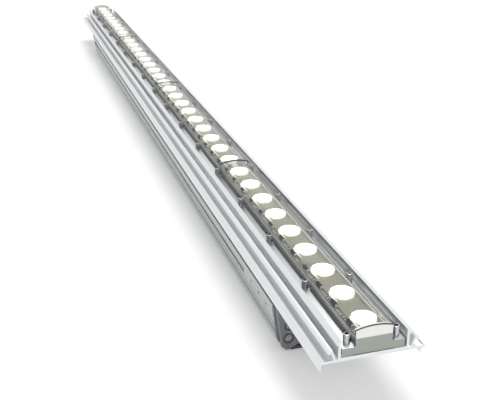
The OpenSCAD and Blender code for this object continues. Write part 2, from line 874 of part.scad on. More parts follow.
module plate_spacers() {
    color(STEEL) for (side = [-1, 1], place = plate_screw_places) at_end(side) difference() {
        rod_x(spacer_r, cap_x, plate_x, place.x, place.y);
        rod_x(port_screw_d / 2 + fit_gap, cap_x - overrun, plate_x + overrun, place.x, place.y);
    }
}

// A socket head screw along X: its head ends at head_to
module socket_screw(r, head_r, from, head_from, head_to, y, z) {
    depth = (head_to - head_from) / 2;
    difference() {
        union() {
            rod_x(r, from, head_from, y, z);
            rod_x(head_r, head_from, head_to, y, z);
        }
        translate([head_to - depth, y, z]) rotate([0, 90, 0])
            cylinder(r = head_r * socket_share, h = depth + overrun, $fn = 6);
    }
}

module plate_screws() {
    color(STEEL) for (side = [-1, 1], place = plate_screw_places) at_end(side)
        socket_screw(port_screw_d / 2, plate_screw_head_r, face_x - plate_screw_len,
                     face_x - recess_depth, face_x, place.x, place.y);
}

module pivot_bushes() {
    color("#EDEAE0") for (side = [-1, 1]) at_end(side) difference() {
        rod_x(pivot_d / 2 + bearing_gap + bush_wall, plate_x, face_x - recess_depth, -pivot_y, pivot_z);
        rod_x(pivot_d / 2 + bearing_gap, plate_x - overrun, face_x, -pivot_y, pivot_z);
    }
}

// Driver inside the rail

driver_x = feed_x - driver_feed_share * driver_len;
driver_floor_z = rail_z + cavity_floor;
driver_board_z = driver_floor_z + driver_wall + driver_post_h;

module driver_post_places() {
    for (x = [driver_post_inset, driver_len - driver_post_inset], side = [-1, 1])
        translate([driver_x + x, side * (driver_w / 2 - driver_wall - driver_post_r), 0]) children();
}

module driver_tray() {
    color("#4A4D50") union() {
        along_x(driver_x, driver_x + driver_len) polygon(both_sides([
            [driver_w / 2 - driver_wall, driver_floor_z + driver_wall],
            [driver_w / 2 - driver_wall, driver_floor_z + driver_h],
            [driver_w / 2, driver_floor_z + driver_h],
            [driver_w / 2, driver_floor_z]
        ]));
        driver_post_places()
            rod_z(driver_post_r, driver_floor_z + driver_wall / 2, driver_board_z, 0, 0);
    }
}

module driver_board() {
    color("#2F6B47")
        block([driver_x + driver_wall, -driver_w / 2 + driver_wall + fit_gap, driver_board_z],
              [driver_x + driver_len - driver_wall, driver_w / 2 - driver_wall - fit_gap,
               driver_board_z + board_t]);
}

// Transformer, chokes and capacitors, spread along the driver's board
coil_shares = [0.2, 0.62];
capacitor_shares = [0.38, 0.47, 0.86];
module driver_parts() {
    top = driver_board_z + board_t;
    color("#D9A441") for (share = coil_shares)
        translate([driver_x + share * driver_len - coil_size.x / 2, -coil_size.y / 2, top]) cube(coil_size);
    color("#26323F") for (share = capacitor_shares)
        rod_x(capacitor_r, driver_x + share * driver_len - capacitor_len / 2,
              driver_x + share * driver_len + capacitor_len / 2, 0, top + capacitor_r);
}

module terminal_block() {
    top = driver_board_z + board_t;
    color("#3E6FA3") difference() {
        block([driver_x + driver_post_inset, -terminal_size.y / 2, top],
              [driver_x + driver_post_inset + terminal_size.x, terminal_size.y / 2, top + terminal_size.z]);
        for (i = [-1 : 1])
            rod_x(terminal_wire_d / 2, driver_x, driver_x + terminal_size.x,
                  i * terminal_pitch, top + terminal_size.z / 2);
    }
}

// Cable gland on the far cap

module gland_body() {
    color("#3A3B3D") at_end(-1) difference() {
        union() {
            rod_x(gland_thread_r, rail_half - gland_inner, cap_x + gland_collar + gland_thread_len, 0, gland_z);
            hex_x(gland_flats, cap_x, cap_x + gland_collar, 0, gland_z);
        }
        rod_x(gland_bore_d / 2, rail_half - gland_inner - overrun,
              cap_x + gland_collar + gland_thread_len + overrun, 0, gland_z);
    }
}

module gland_nut() {
    nut_x = cap_x + gland_collar;
    color("#3A3B3D") at_end(-1) difference() {
        hex_x(gland_flats, nut_x, nut_x + gland_nut_len, 0, gland_z);
        rod_x(gland_thread_r + thread_gap, nut_x - overrun, nut_x + gland_thread_len, 0, gland_z);
        rod_x(gland_bore_d / 2 + bearing_gap, nut_x, nut_x + gland_nut_len + overrun, 0, gland_z);
    }
}

// Foot brackets and the screws that they carry

foot_hole_x = rail_half - foot_len * foot_hole_x_share;
foot_base_half = pivot_y + ear_out;

module foot(side) {
    color("#5A5B5E") at_end(side) difference() {
        union() {
            along_x(ear_x, ear_x + ear_t) polygon([
                [-foot_base_half, 0],
                [foot_base_half, 0],
                [foot_base_half, ear_low],
                [-pivot_y + ear_in + ear_top_half, ear_low],
                [-pivot_y + ear_in, pivot_z + ear_over_pivot],
                [-pivot_y + ear_top_half, lock_z + ear_over_lock],
                [-pivot_y - ear_top_half, lock_z + ear_over_lock],
                [-foot_base_half, pivot_z + ear_over_pivot]
            ]);
            block([rail_half - foot_len, -foot_w / 2, 0], [ear_x + ear_t, foot_w / 2, foot_t]);
            along_x(ear_x, face_x) polygon(both_sides([[tongue_top_half, foot_t], [tongue_low_half, 0]]));
        }
        rod_x(pivot_d / 2 + thread_gap, ear_x - overrun, ear_x + ear_t + overrun, -pivot_y, pivot_z);
        rod_x(lock_d / 2 + thread_gap, ear_x - overrun, ear_x + ear_t + overrun, -pivot_y, lock_z);
        for (y = [-foot_hole_pitch / 2, foot_hole_pitch / 2]) {
            rod_z(foot_hole_d / 2, -overrun, foot_t + overrun, foot_hole_x, y);
            translate([foot_hole_x, y, foot_t - countersink_h])
                cylinder(r1 = foot_hole_d / 2, r2 = countersink_r, h = countersink_h);
            rod_z(countersink_r, foot_t, foot_t + overrun, foot_hole_x, y);
        }
    }
}

module pivot_screws() {
    under = face_x - recess_depth + fit_gap;
    color("#D5D6D8") for (side = [-1, 1]) at_end(side)
        socket_screw(pivot_d / 2, pivot_head_r, ear_x, under, under + pivot_head_t, -pivot_y, pivot_z);
}

module lock_screws() {
    under = face_x - recess_depth + fit_gap;
    color("#D5D6D8") for (side = [-1, 1]) at_end(side)
        socket_screw(lock_d / 2, lock_head_r, ear_x, under, under + pivot_head_t, -pivot_y, lock_z);
}

tray();
tray_screws();
module_carrier(1);  // module_carrier_1
module_carrier(2);  // module_carrier_2
module_carrier(3);  // module_carrier_3
module_carrier(4);  // module_carrier_4
led_board(1);  // led_board_1
led_board(2);  // led_board_2
led_board(3);  // led_board_3
led_board(4);  // led_board_4
led_chips(1);  // led_chips_1
led_chips(2);  // led_chips_2
led_chips(3);  // led_chips_3
led_chips(4);  // led_chips_4
led_optics(1);  // led_optics_1
led_optics(2);  // led_optics_2
led_optics(3);  // led_optics_3
led_optics(4);  // led_optics_4
board_parts(1);  // board_parts_1
board_parts(2);  // board_parts_2
board_parts(3);  // board_parts_3
board_parts(4);  // board_parts_4
diffuser(1);  // diffuser_1
diffuser(2);  // diffuser_2
diffuser(3);  // diffuser_3
diffuser(4);  // diffuser_4
clear_cover(1);  // clear_cover_1
clear_cover(2);  // clear_cover_2
clear_cover(3);  // clear_cover_3
clear_cover(4);  // clear_cover_4
end_plug(1);  // end_plug_near
end_plug(-1);  // end_plug_far
joint_seals();
side_seals();
clamp_screws();
thermal_pads();
board_links();
feed_sleeve();
feed_pins();
housing_rail();
rail_cap(1);  // rail_cap_near
rail_cap(-1);  // rail_cap_far
cap_seals();
end_plate(1);  // end_plate_near
end_plate(-1);  // end_plate_far
plate_spacers();
plate_screws();
pivot_bushes();
clamp_strip();
strip_screws();
driver_tray();
driver_board();
driver_parts();
terminal_block();
gland_body();
gland_nut();
foot(1);  // foot_near
foot(-1);  // foot_far
pivot_screws();
lock_screws();
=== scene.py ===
# %% [markdown]
# # An outdoor wall washer in Blender
# A wall washer is a long lamp that lights a facade evenly. Its tray, rail and brackets are
# already built as a CAD frame. This lesson gives each of its pieces the edges, finishes and
# small parts that the eye looks for, and lights it as a product photograph.

# %% Load the frame
import json
import math

import bmesh
import bpy
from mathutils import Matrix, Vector

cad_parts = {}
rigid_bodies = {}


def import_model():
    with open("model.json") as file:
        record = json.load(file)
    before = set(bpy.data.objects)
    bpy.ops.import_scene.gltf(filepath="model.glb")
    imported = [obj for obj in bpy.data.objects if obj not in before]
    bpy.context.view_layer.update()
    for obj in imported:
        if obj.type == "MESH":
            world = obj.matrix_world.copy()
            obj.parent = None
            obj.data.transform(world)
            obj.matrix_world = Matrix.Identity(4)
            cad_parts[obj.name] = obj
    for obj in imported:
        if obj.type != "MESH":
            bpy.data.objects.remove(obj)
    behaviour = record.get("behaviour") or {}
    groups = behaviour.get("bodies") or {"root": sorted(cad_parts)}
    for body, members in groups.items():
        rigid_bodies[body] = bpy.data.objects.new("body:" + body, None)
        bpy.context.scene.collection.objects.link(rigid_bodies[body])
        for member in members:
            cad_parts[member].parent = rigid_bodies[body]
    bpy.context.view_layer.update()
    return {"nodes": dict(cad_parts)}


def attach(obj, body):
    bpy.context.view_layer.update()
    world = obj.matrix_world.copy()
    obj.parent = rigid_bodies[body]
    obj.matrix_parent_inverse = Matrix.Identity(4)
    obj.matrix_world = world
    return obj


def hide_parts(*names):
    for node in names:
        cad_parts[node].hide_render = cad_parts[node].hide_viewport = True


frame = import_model()
scene = bpy.context.scene
scene.view_settings.view_transform = "Standard"

# %% [markdown]
# ## Millimetres
# Blender works in metres. The lamp is drawn in millimetres, so every size is written as on a
# drawing and turned to metres in one place. X runs along the lamp towards its near end, Y across
# it and Z up from the surface that it stands on.

# %% Sizes shared by the pieces
MM = 0.001
TRAY_HALF = 600  # half the tray's length
MODULE_LEN = 300
MODULE_COUNT = 4
SEAT_Z = 42.6  # top of the tray's floor
FLANGE_Z = 48.4  # top of the carriers' flanges
CORE_Z = 53.7  # top of their raised centres
BOARD_Z = 55.3  # top of the circuit boards
PITCH = 33.333  # from one LED to the next
FIRST_LED_X = 583.333


def mm(*numbers):
    """Numbers in millimetres as a vector in metres"""
    return Vector(numbers) * MM


# %% [markdown]
# ## Camera
# The photograph looks down the lamp from beyond its near end. The camera's place and lens were
# worked out from the LED centres and the tray's long edges, with the lamp level.

# %% Camera
CAMERA_AT = (976.4, -194.1, 314.7)
CAMERA_LOOK = (-0.88217, 0.27273, -0.38393)
LENS = 58.84
SENSOR = 36
NEAREST = 10

camera = bpy.data.objects.new("camera", bpy.data.cameras.new("camera"))
scene.collection.objects.link(camera)
camera.location = mm(*CAMERA_AT)
camera.rotation_mode = "QUATERNION"
camera.rotation_quaternion = Vector(CAMERA_LOOK).to_track_quat("-Z", "Y")
camera.data.lens = LENS
camera.data.sensor_width = SENSOR
camera.data.clip_start = NEAREST * MM
scene.camera = camera
print("camera at", CAMERA_AT, "mm, looking along", CAMERA_LOOK)

# %% [markdown]
# ## Two helpers for finishes
# A colour picked on a screen is sRGB, but shaders count light, so one function turns a hex
# value to linear. A second adds a shader node with its settings, values and links in one line.

# %% Colour and node helpers
def linear(hex_colour):
    """An sRGB hex value as linear red, green, blue and alpha"""
    parts = [int(hex_colour[i : i + 2], 16) / 255 for i in (1, 3, 5)]
    parts = [p / 12.92 if p <= 0.04045 else ((p + 0.055) / 1.055) ** 2.4 for p in parts]
    return (*parts, 1.0)


def node(tree, kind, sockets=None, **settings):
    """Adds a node, sets it, and gives each named socket a value or a link"""
    made = tree.nodes.new(kind)
    for name, value in settings.items():
        setattr(made, name, value)
    for name, value in (sockets or {}).items():
        if isinstance(value, bpy.types.NodeSocket):
            tree.links.new(value, made.inputs[name])
        else:
            made.inputs[name].default_value = value
    return made


# %% [markdown]
# ## Light
# Product photographs use large soft lights and a white sweep. The world lights the lamp evenly,
# and shows as white where the camera, a reflection or a clear part looks straight at it.
# A wide distant light behind and to the right throws the soft shadow towards the viewer's left.
# It is a sun with a wide angle, so the whole sweep gets the same light from it. A weak panel in
# front lifts the near end.

# %% World
WORLD_LIGHT = 0.66


def looks_straight(tree):
    """A socket that is one where the camera, a reflection or a clear part looks, else zero"""
    rays = node(tree, "ShaderNodeLightPath").outputs
    seen = rays["Is Camera Ray"]
    for kind in ("Is Glossy Ray", "Is Transmission Ray"):
        seen = node(tree, "ShaderNodeMath", {0: seen, 1: rays[kind]}, operation="MAXIMUM").outputs[0]
    return seen


world = bpy.data.worlds.new("studio")
scene.world = world
world.use_nodes = True
sky = world.node_tree
sky.nodes.clear()
glow = node(sky, "ShaderNodeMapRange",
            {"Value": looks_straight(sky), "To Min": WORLD_LIGHT, "To Max": 1.0})
white = node(sky, "ShaderNodeBackground",
             {"Color": linear("#FFFFFF"), "Strength": glow.outputs[0]})
node(sky, "ShaderNodeOutputWorld", {"Surface": white.outputs[0]})
print("world light", WORLD_LIGHT)

# %% Lamps
SUN_POWER = 1.3
SUN_ANGLE = math.radians(30)
SUN_ALONG = (0.25, -0.2, -1.0)
PANEL_WATTS = 5
PANEL_AT = (2200, -500, 1000)
PANEL_AIM = (400, 0, 0)
PANEL_SIZE = (1200, 1000)


def light(name, kind, power, along):
    """A light of one kind and power that shines along a direction"""
    made = bpy.data.objects.new(name, bpy.data.lights.new(name, kind))
    scene.collection.objects.link(made)
    made.data.energy = power
    made.rotation_mode = "QUATERNION"
    made.rotation_quaternion = Vector(along).to_track_quat("-Z", "Y")
    return made


light("key_light", "SUN", SUN_POWER, SUN_ALONG).data.angle = SUN_ANGLE
panel = light("front_panel", "AREA", PANEL_WATTS, mm(*PANEL_AIM) - mm(*PANEL_AT))
panel.location = mm(*PANEL_AT)
panel.data.shape = "RECTANGLE"
panel.data.size, panel.data.size_y = mm(*PANEL_SIZE)

# %% [markdown]
# ## Floor
# The sweep is white paper. Its own colour stays plain, and what the camera and the reflections
# see of it is lifted to white by a little added glow, which leaves the lamp's shadow on it.

# %% Floor
FLOOR_SIZE = 8000
FLOOR_DROP = 0.2
FLOOR_LIFT = 0.2

bpy.ops.object.select_all(action="DESELECT")
bpy.ops.mesh.primitive_plane_add(size=FLOOR_SIZE * MM, location=mm(0, 0, -FLOOR_DROP))
floor = bpy.context.object
floor.name = "floor"
paper = bpy.data.materials.new("white_paper")
paper.use_nodes = True
tree = paper.node_tree
tree.nodes.clear()
lift = node(tree, "ShaderNodeMath", {0: looks_straight(tree), 1: FLOOR_LIFT}, operation="MULTIPLY")
matt = node(tree, "ShaderNodeBsdfDiffuse", {"Color": linear("#E8E8E8")})
added = node(tree, "ShaderNodeEmission",
             {"Color": linear("#FFFFFF"), "Strength": lift.outputs[0]})
both = node(tree, "ShaderNodeAddShader", {0: matt.outputs[0], 1: added.outputs[0]})
node(tree, "ShaderNodeOutputMaterial", {"Surface": both.outputs[0]})
floor.data.materials.append(paper)
print("floor", FLOOR_SIZE, "mm wide")


# %% [markdown]
# ## Finishes
# Each finish starts from its real material. A helper makes the main shader and gives the fine
# relief that its making leaves: long die lines on extrusions, grit on powder coat and so on.
# The scale of each pattern is one over its real size in metres.

# %% A finish with relief
GRAIN_DETAIL = 3.0


def finish(name, colour, metallic, rough, size, relief, stretch=(1, 1, 1), vary=0.12,
           rough_vary=0.1, **sockets):
    """A material with a noise pattern, its size and relief in mm, in colour, gloss and bump"""
    made = bpy.data.materials.new(name)
    made.use_nodes = True
    tree = made.node_tree
    tree.nodes.clear()
    place = node(tree, "ShaderNodeTexCoord").outputs["Object"]
    drawn_out = node(tree, "ShaderNodeMapping", {"Vector": place, "Scale": stretch}).outputs[0]
    grain = node(tree, "ShaderNodeTexNoise",
                 {"Vector": drawn_out, "Scale": 1 / (size * MM), "Detail": GRAIN_DETAIL})
    pattern = grain.outputs["Fac"]
    dark = (*(c * (1 - vary) for c in linear(colour)[:3]), 1.0)
    tint = node(tree, "ShaderNodeMix", {"Factor": pattern, "A": dark, "B": linear(colour)},
                data_type="RGBA")
    gloss = node(tree, "ShaderNodeMapRange",
                 {"Value": pattern, "To Min": rough - rough_vary, "To Max": rough + rough_vary})
    bump = node(tree, "ShaderNodeBump",
                {"Height": pattern, "Distance": relief * MM, "Strength": 1.0})
    shader = node(tree, "ShaderNodeBsdfPrincipled", {
        "Base Color": tint.outputs["Result"], "Metallic": metallic,
        "Roughness": gloss.outputs[0], "Normal": bump.outputs[0],
    })
    for socket, value in sockets.items():
        shader.inputs[socket.replace("_", " ")].default_value = value
    node(tree, "ShaderNodeOutputMaterial", {"Surface": shader.outputs[0]})
    print("finish", name)
    return made


# %% [markdown]
# ### Aluminium
# The tray and the rail are satin anodised extrusions, and fine lines from the die run along them.
# The rail is duller than the tray. Its lower edge and lines get darker copies of its metal as
# painted shade, and its inner faces a lighter copy as painted light. A carrier is plain extruded
# metal along its length, and brushed and warmer where it is sawn.

# %% Aluminium
DIE_LINES = {"size": 0.5, "stretch": (0.02, 1, 1), "relief": 0.01}
BRUSH_LINES = {"size": 0.4, "stretch": (0.3, 0.02, 1), "relief": 0.01}
ROLL_LINES = {"size": 0.5, "stretch": (0.05, 1, 1), "relief": 0.01}
anodised = finish("anodised_aluminium_extruded", "#E6E8E9", 1.0, 0.36, **DIE_LINES)
rail_metal = finish("anodised_aluminium_matt", "#BEC3C2", 1.0, 0.46, **DIE_LINES)
# The next two are darker copies of the rail's metal, as painted shade; the third is a lighter copy,
# as painted light.
rail_edge_painted_shade = finish("anodised_aluminium_edge_painted_shade", "#8F9493", 1.0, 0.5, **DIE_LINES)
rail_line_painted_shade = finish("anodised_aluminium_line_painted_shade", "#4E5352", 1.0, 0.55, **DIE_LINES)
rail_inside_painted_light = finish("anodised_aluminium_inside_painted_light", "#E0E3E3", 1.0, 0.46, **DIE_LINES)
carrier_metal = finish("aluminium_extruded_plain", "#CDD0D0", 1.0, 0.42, **DIE_LINES)
brushed = finish("aluminium_brushed", "#A3A69E", 1.0, 0.42, **BRUSH_LINES)
strip_metal = finish("aluminium_bright_rolled", "#C6CAC9", 1.0, 0.36, **ROLL_LINES)

# %% [markdown]
# ### Steel, brass and powder coat
# Screws are turned stainless steel with sharp reflections, and the small ones in the clamping
# strip are blackened. The plates, caps and feet are powder coated, which covers the metal with a
# fine matt grit. Solder and brass are bright, and only small spots of them show.

# %% Steel, brass and powder coat
TURNED = {"size": 0.2, "relief": 0.003}
GRIT = {"size": 0.5, "relief": 0.03}
stainless = finish("stainless_steel_turned", "#C4C6C9", 1.0, 0.18, rough_vary=0.05, **TURNED)
# The pivot and lock screws take a darker copy of the turned steel, as painted shade.
pivot_steel_painted_shade = finish("stainless_steel_polished_painted_shade", "#A2A4A8", 1.0, 0.12, rough_vary=0.04, **TURNED)
# Blackened steel for the strip screws, and also painted shade on the clamp screws' socket walls.
blackened_steel_and_socket_shade = finish("steel_blackened_and_socket_shade", "#4A4C50", 1.0, 0.4, size=0.3, relief=0.005)
brass = finish("brass_turned", "#C9A24A", 1.0, 0.25, size=0.3, relief=0.004)
solder = finish("tin_solder", "#C8CACB", 1.0, 0.3, size=0.4, relief=0.01)
plate_coat = finish("powder_coat_mid_grey", "#7E7E83", 0.0, 0.5, **GRIT)
cap_coat = finish("powder_coat_light_grey", "#8B8D8F", 0.0, 0.5, **GRIT)
foot_coat = finish("powder_coat_dark_grey", "#4B4C50", 0.0, 0.5, **GRIT)

# %% [markdown]
# ### Plastics and rubber
# Moulded plastics have an almost even colour and a light orange-peel. Rubber is matt and black,
# and the chips' epoxy is matter still. The boards' solder mask is smooth and a little glossy.

# %% Plastics and rubber
white_plastic = finish("polycarbonate_white_moulded", "#FAFAF8", 0.0, 0.35,
                       size=1.5, relief=0.004, vary=0.03)
link_plastic = finish("nylon_white_moulded", "#E6E6DD", 0.0, 0.45,
                      size=1.0, relief=0.005, vary=0.05)
natural_nylon = finish("nylon_natural_turned", "#EDEAE0", 0.0, 0.5,
                       size=0.6, relief=0.004, vary=0.05)
black_plastic = finish("nylon_black_moulded", "#2A2B2C", 0.0, 0.45, size=0.8, relief=0.008)
blue_nylon = finish("nylon_blue_moulded", "#3E6FA3", 0.0, 0.45, size=0.8, relief=0.006)
driver_plastic = finish("abs_grey_moulded", "#4A4D50", 0.0, 0.5, size=0.8, relief=0.008)
rubber = finish("epdm_rubber_extruded", "#1A1B1C", 0.0, 0.62,
                size=0.4, stretch=(0.1, 1, 1), relief=0.01)
pad_rubber = finish("silicone_pad_pressed", "#8E9496", 0.0, 0.7, size=0.6, relief=0.01)
phosphor = finish("phosphor_silicone", "#F5E9B8", 0.0, 0.4, size=0.3, relief=0.002)
mask_white = finish("solder_mask_white", "#8A8A7E", 0.0, 0.45, size=3.0, relief=0.003, vary=0.06)
mask_green = finish("solder_mask_green", "#2F6B47", 0.0, 0.4, size=3.0, relief=0.003)
epoxy_black = finish("epoxy_black_moulded", "#121312", 0.0, 0.8,
                     size=0.4, relief=0.005, Specular_IOR_Level=0.15)
coil_tape = finish("polyester_tape_yellow", "#D9A441", 0.0, 0.4, size=1.0, relief=0.006)


# %% [markdown]
# ### Clear parts
# The cover is polycarbonate, about a millimetre thick. Light goes through such a thin sheet
# almost straight, so the shader lets it through by its alpha, and only the share that the sheet
# reflects is drawn. That share grows where the sheet is seen at a slant. Its cut ends are painted
# dark, as painted shade.
#
# The inner strip is acrylic: its top is lightly frosted, so the lit lenses glow softly through it,
# and its side walls are clear. The strip is a thin shell that bends the view very little, so its
# IOR is set below the 1.49 of solid acrylic.

# %% Clear parts
FILM_LEAST = 0.03
FILM_MOST = 0.2
FILM_RISE = 5.0
FROSTED_OUT_TO = 7.8
CLEAR_FROM = 8.6
FROSTED_ROUGH = 0.14
CLEAR_ROUGH = 0.03


def clear_plastic(name, colour, ior):
    """A clear moulded plastic: its material, its node tree and the sockets of its main shader"""
    made = bpy.data.materials.new(name)
    made.use_nodes = True
    sockets = made.node_tree.nodes["Principled BSDF"].inputs
    sockets["Base Color"].default_value = linear(colour)
    sockets["IOR"].default_value = ior
    print("finish", name)
    return made, made.node_tree, sockets


clear_cover_plastic, tree, sheet = clear_plastic("polycarbonate_clear_moulded", "#F4F6F6", 1.58)
sheet["Roughness"].default_value = 0.05
slant = node(tree, "ShaderNodeLayerWeight", {"Blend": 0.5})
steep = node(tree, "ShaderNodeMath", {0: slant.outputs["Facing"], 1: FILM_RISE}, operation="POWER")
film = node(tree, "ShaderNodeMapRange",
            {"Value": steep.outputs[0], "To Min": FILM_LEAST, "To Max": FILM_MOST})
tree.links.new(film.outputs[0], sheet["Alpha"])
# An opaque dark grey for the covers' ends, as painted shade.
cover_ends_painted_shade = finish("polycarbonate_end_painted_shade", "#3C4144", 0.0, 0.35, size=0.5, relief=0.005)

frosted, tree, sheet = clear_plastic("acrylic_frosted_top", "#F6F6F1", 1.12)
sheet["Transmission Weight"].default_value = 1.0
place = node(tree, "ShaderNodeTexCoord")
across = node(tree, "ShaderNodeSeparateXYZ", {"Vector": place.outputs["Object"]})
away = node(tree, "ShaderNodeMath", {0: across.outputs["Y"]}, operation="ABSOLUTE")
frost = node(tree, "ShaderNodeMapRange", {
    "Value": away.outputs[0], "From Min": FROSTED_OUT_TO * MM, "From Max": CLEAR_FROM * MM,
    "To Min": FROSTED_ROUGH, "To Max": CLEAR_ROUGH,
})
tree.links.new(frost.outputs[0], sheet["Roughness"])

# %% [markdown]
# ### The lit lenses
# Each lens is milky silicone over an LED. Lit, its dome is an even white that turns a little
# warmer and dimmer at the rim. The distance to the nearest lens centre gives that fall-off.

# %% Lit lenses
RIM_FROM = 7.2
RIM_TO = 8.1
GLOW_MIDDLE = 1.5
GLOW_RIM = 0.6

lens_glow = bpy.data.materials.new("silicone_milky_lit")
lens_glow.use_nodes = True
tree = lens_glow.node_tree
dome_sockets = tree.nodes["Principled BSDF"].inputs
place = node(tree, "ShaderNodeTexCoord")
across = node(tree, "ShaderNodeSeparateXYZ", {"Vector": place.outputs["Object"]})
shifted = node(tree, "ShaderNodeMath", {0: across.outputs["X"], 1: FIRST_LED_X * MM},
               operation="SUBTRACT")
near_x = node(tree, "ShaderNodeMath", {0: shifted.outputs[0], 1: PITCH / 2 * MM},
              operation="PINGPONG")
flat = node(tree, "ShaderNodeCombineXYZ", {"X": near_x.outputs[0], "Y": across.outputs["Y"]})
radius = node(tree, "ShaderNodeVectorMath", {0: flat.outputs[0]}, operation="LENGTH")
rim = node(tree, "ShaderNodeMapRange",
           {"Value": radius.outputs["Value"], "From Min": RIM_FROM * MM, "From Max": RIM_TO * MM})
tone = node(tree, "ShaderNodeMix",
            {"Factor": rim.outputs[0], "A": linear("#FFFFFF"), "B": linear("#FFF9EA")},
            data_type="RGBA")
power = node(tree, "ShaderNodeMapRange",
             {"Value": rim.outputs[0], "To Min": GLOW_MIDDLE, "To Max": GLOW_RIM})
tree.links.new(tone.outputs["Result"], dome_sockets["Emission Color"])
tree.links.new(power.outputs[0], dome_sockets["Emission Strength"])
dome_sockets["Base Color"].default_value = linear("#F6F5EE")
dome_sockets["Roughness"].default_value = 0.35
print("finish", lens_glow.name)

# %% [markdown]
# ## Dress the CAD nodes
# A node whose shape is already right stays, and only takes its finish. The longest name that a
# node's own name starts with gives it.

# %% Finishes on the nodes
FINISHES = {
    "tray": anodised, "tray_screws": stainless, "module_carrier": brushed, "led_board": mask_white,
    "led_chips": phosphor, "led_optics": lens_glow, "board_parts": epoxy_black, "diffuser": frosted,
    "clear_cover": clear_cover_plastic, "end_plug": white_plastic, "joint_seals": rubber,
    "side_seals": rubber, "clamp_screws": stainless, "thermal_pads": pad_rubber,
    "board_links": link_plastic, "feed_sleeve": black_plastic, "feed_pins": brass,
    "housing_rail": rail_metal, "rail_cap": cap_coat, "cap_seals": rubber, "end_plate": plate_coat,
    "plate_spacers": stainless, "plate_screws": stainless, "pivot_bushes": natural_nylon,
    "clamp_strip": strip_metal, "strip_screws": blackened_steel_and_socket_shade, "driver_tray": driver_plastic,
    "driver_board": mask_green, "driver_parts": coil_tape, "terminal_block": blue_nylon,
    "gland_body": black_plastic, "gland_nut": black_plastic, "foot": foot_coat,
    "pivot_screws": stainless, "lock_screws": stainless,
}
for name, part in frame["nodes"].items():
    kind = next(k for k in sorted(FINISHES, key=len, reverse=True) if name.startswith(k))
    part.data.materials.clear()
    part.data.materials.append(FINISHES[kind])
print("dressed", len(frame["nodes"]), "nodes")


# %% [markdown]
# ## Modelling helpers
# Most of a wall washer is extruded aluminium: one outline drawn out along the lamp. So the first
# helper extrudes a vertex round an outline, fills it and extrudes the face along X. The second
# spins an outline round an axis, as a lathe does for screws and lenses. Real edges are never
# perfectly sharp, and a small bevel on them is what catches the light.

# %% Selecting and softening
SHARP = math.radians(28)
BEVEL_STEPS = 2
MERGE = 0.002


def only(piece):
    """Selects one object alone and makes it active"""
    bpy.ops.object.select_all(action="DESELECT")
    piece.select_set(True)
    bpy.context.view_layer.objects.active = piece


def soften(width):
    """In edit mode, bevels the edges where two faces meet at a clear angle"""
    bpy.ops.mesh.select_mode(type="EDGE")
    bpy.ops.mesh.select_all(action="DESELECT")
    bpy.ops.mesh.edges_select_sharp(sharpness=SHARP)
    bpy.ops.mesh.bevel(offset=width * MM, segments=BEVEL_STEPS, affect="EDGES", clamp_overlap=True)


def pick_faces(test):
    """In edit mode, selects only the faces whose normal passes a test"""
    bpy.ops.mesh.select_mode(type="FACE")
    bpy.ops.mesh.select_all(action="DESELECT")
    mesh = bmesh.from_edit_mesh(bpy.context.object.data)
    for face in mesh.faces:
        face.select_set(test(face.normal))
    bmesh.update_edit_mesh(bpy.context.object.data)


def push(*by):
    """In edit mode, extrudes what is selected by a step in mm"""
    bpy.ops.mesh.extrude_region_move(TRANSFORM_OT_translate={"value": mm(*by)})


# %% Drawing an outline
def start_point(name):
    """One vertex to extrude from: a small plane merged at its centre"""
    bpy.ops.object.select_all(action="DESELECT")
    bpy.ops.mesh.primitive_plane_add(size=MM, location=(0, 0, 0))
    piece = bpy.context.object
    piece.name = name
    bpy.ops.object.mode_set(mode="EDIT")
    bpy.ops.mesh.select_mode(type="VERT")
    bpy.ops.mesh.select_all(action="SELECT")
    bpy.ops.mesh.merge(type="CENTER")
    return piece


def trace(points):
    """Moves the vertex to the first point, in mm, and extrudes it to each of the others"""
    bpy.ops.transform.translate(value=mm(*points[0]))
    for a, b in zip(points, points[1:]):
        bpy.ops.mesh.extrude_region_move(TRANSFORM_OT_translate={"value": mm(*b) - mm(*a)})


def bar(name, outline, far, near, edge):
    """An outline of [y, z] points drawn out along X from one place to another"""
    piece = start_point(name)
    trace([(far, y, z) for y, z in outline])
    bpy.ops.mesh.select_all(action="SELECT")
    bpy.ops.mesh.edge_face_add()
    bpy.ops.mesh.select_all(action="SELECT")
    push(near - far, 0, 0)
    bpy.ops.mesh.select_all(action="SELECT")
    bpy.ops.mesh.normals_make_consistent(inside=False)
    soften(edge)
    bpy.ops.object.mode_set(mode="OBJECT")
    return piece


def turned(name, outline, steps):
    """An outline of [radius, height] points spun once round the Z axis"""
    piece = start_point(name)
    trace([(r, 0, z) for r, z in outline])
    bpy.ops.mesh.select_all(action="SELECT")
    bpy.ops.mesh.spin(steps=steps, angle=math.tau, center=(0, 0, 0), axis=(0, 0, 1))
    bpy.ops.mesh.select_all(action="SELECT")
    bpy.ops.mesh.remove_doubles(threshold=MERGE * MM)
    bpy.ops.mesh.normals_make_consistent(inside=False)
    bpy.ops.object.mode_set(mode="OBJECT")
    return piece


# %% [markdown]
# What repeats is made once and copied. A bar that is sawn to length gets one finish along it and
# another on its two ends. At last each piece is settled: its place is applied, its curves are
# smoothed, the node that it stands for is hidden, and it is put on the body that it rides on.

# %% Copying, finishing and settling
END_DEPTH = 0.01
FLAT = math.radians(0.5)


def copies(piece, places):
    """A piece at the first of these places in mm and its copies at the others, joined"""
    twins = []
    for place in places[1:]:
        twin = bpy.data.objects.new(piece.name, piece.data.copy())
        scene.collection.objects.link(twin)
        twin.location = mm(*place)
        twins.append(twin)
    piece.location = mm(*places[0])
    only(piece)
    for twin in twins:
        twin.select_set(True)
    bpy.ops.object.join()
    return piece


def give(piece, *materials):
    """Makes these the piece's materials; the first is the one that its faces have"""
    piece.data.materials.clear()
    for material in materials:
        piece.data.materials.append(material)


